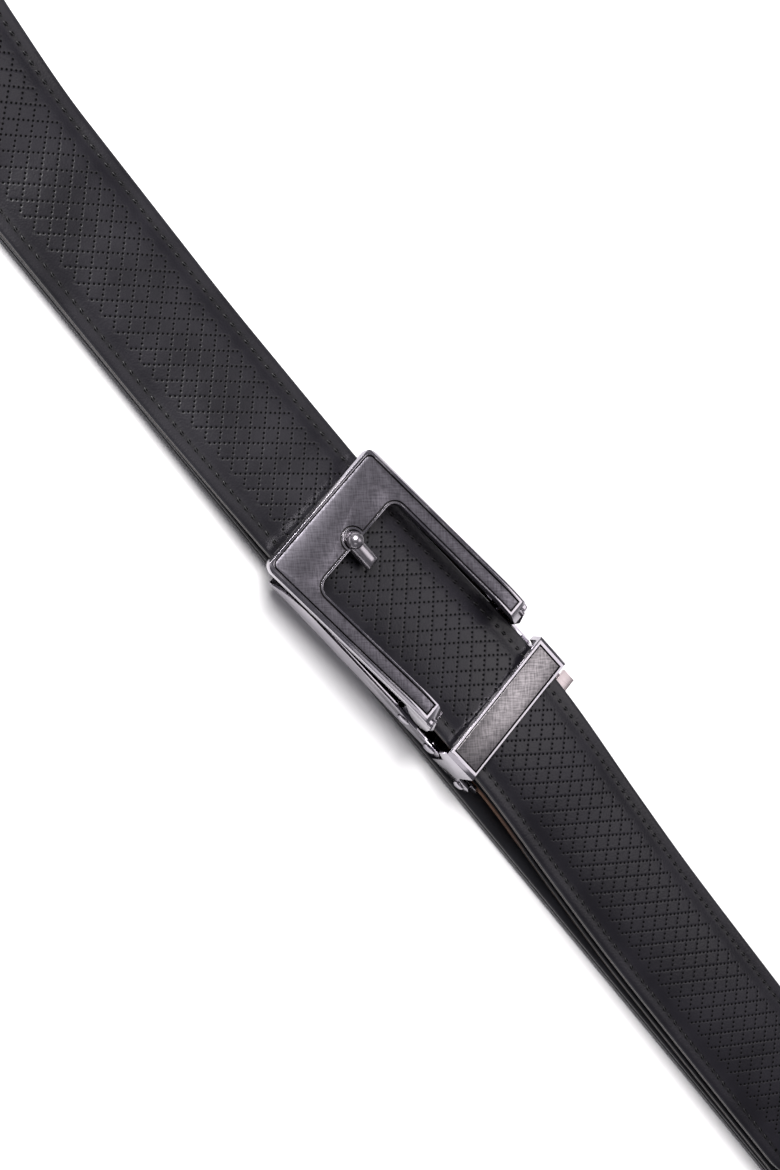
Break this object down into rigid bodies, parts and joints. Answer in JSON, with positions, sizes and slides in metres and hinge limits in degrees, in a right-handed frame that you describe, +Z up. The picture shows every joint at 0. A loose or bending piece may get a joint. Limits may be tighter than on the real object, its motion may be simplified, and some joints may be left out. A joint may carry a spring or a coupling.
{
  "type": "ratchet belt",
  "caption": "Fastened leather ratchet belt with an open frame buckle, a keeper, a clamp and a side release lever, lying as a flattened loop with its free tail on top.",
  "frame": {"origin": "the surface that the belt lies on, under the middle of the buckle, on the strap's line there", "axes": "+X along the strap towards the free tip, +Y across it, +Z up and out of the buckle's face"},
  "size_m": [0.4794, 0.0481, 0.0234],
  "materials": {
    "strap_face": "embossed satin black",
    "strap_lining": "matt dark brown",
    "ratchet_track": "matt black",
    "buckle_metal": "polished gunmetal",
    "buckle_inlay": "fine cross-hatched gunmetal",
    "bright_metal": "bright"
  },
  "bodies": {
    "belt": {"strap_leather": "strap_face", "strap_lining": "strap_lining", "ratchet_track": "ratchet_track", "buckle_base": "buckle_metal", "frame_axle": "buckle_metal", "keeper_axle": "buckle_metal", "clamp_pin_left": "buckle_metal", "clamp_pin_right": "buckle_metal", "keeper": "buckle_metal", "keeper_inlay": "buckle_inlay", "clamp_flap": "buckle_metal"},
    "frame": {"buckle_frame": "buckle_metal", "frame_inlay": "buckle_inlay", "prong_stub": "buckle_metal"},
    "lever": {"release_lever": "bright_metal"}
  },
  "joints": [
    {"name": "frame_lift", "type": "hinge", "parent": "belt", "child": "frame", "pos_m": [0.01486, 0.00114, 0.0076], "axis": [-0.0767, 0.9971, 0], "range_deg": [0, 35]},
    {"name": "lever_release", "type": "hinge", "parent": "belt", "child": "lever", "pos_m": [0.0365, 0.02096, 0.0094], "axis": [0.9971, 0.0767, 0], "range_deg": [0, 1.2], "stiffness_Nm_per_rad": 0.02}
  ]
}
